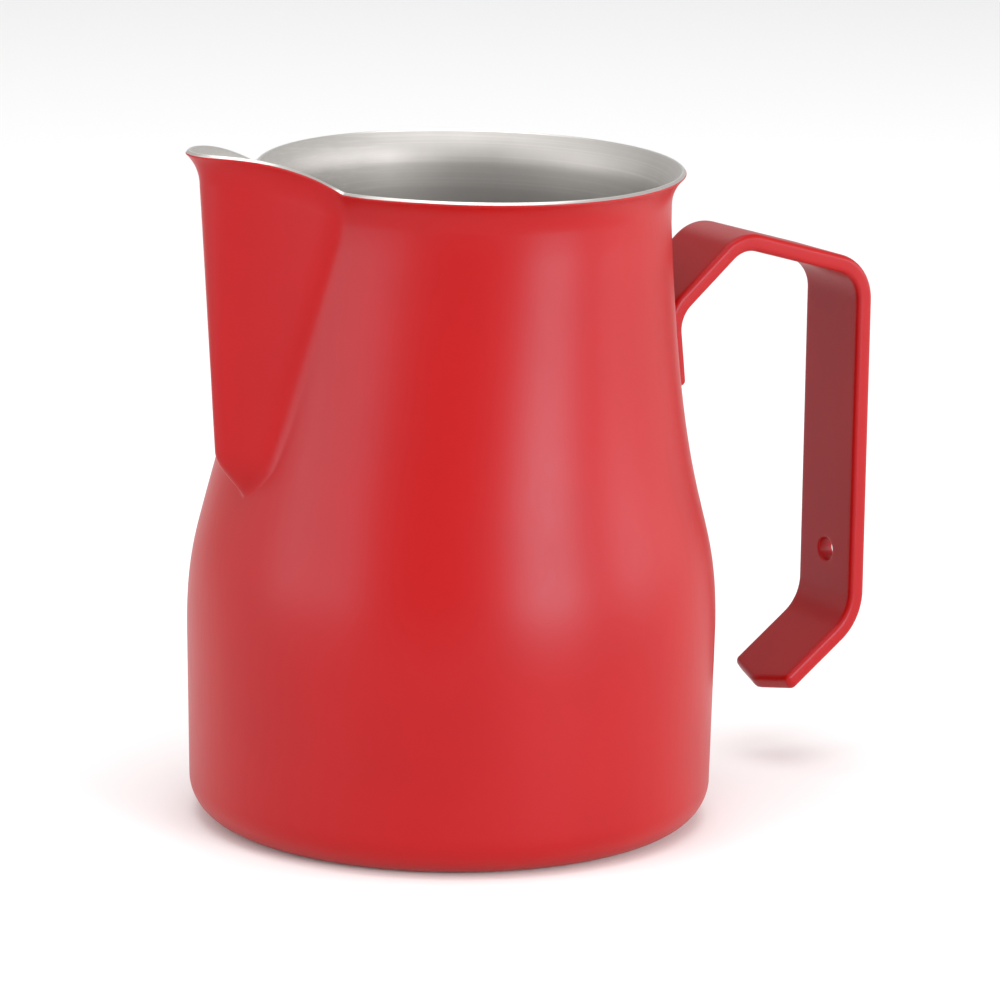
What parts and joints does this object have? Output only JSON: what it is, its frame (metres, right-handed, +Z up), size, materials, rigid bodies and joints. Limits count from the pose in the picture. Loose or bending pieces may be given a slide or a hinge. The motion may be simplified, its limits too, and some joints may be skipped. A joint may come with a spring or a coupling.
{
  "type": "milk frothing pitcher",
  "caption": "Drawn steel frothing pitcher with a round belly, flared lip, pressed pouring spout and an open bent-bar handle, red coated outside and bare inside.",
  "frame": {"origin": "on the body's axis, in the plane that the pitcher stands on", "axes": "+Z up along the body's axis, +X from the axis towards the handle, spout towards -X, Y across the plane of symmetry"},
  "size_m": [0.1305, 0.0888, 0.1164],
  "materials": {
    "red_coat": "satin baked coat",
    "bare_steel": "fine satin, turned marks"
  },
  "bodies": {
    "root": {"pitcher_body": "red_coat", "handle_bar": "red_coat", "weld_nugget_upper": "bare_steel", "weld_nugget_lower": "bare_steel"}
  },
  "joints": []
}
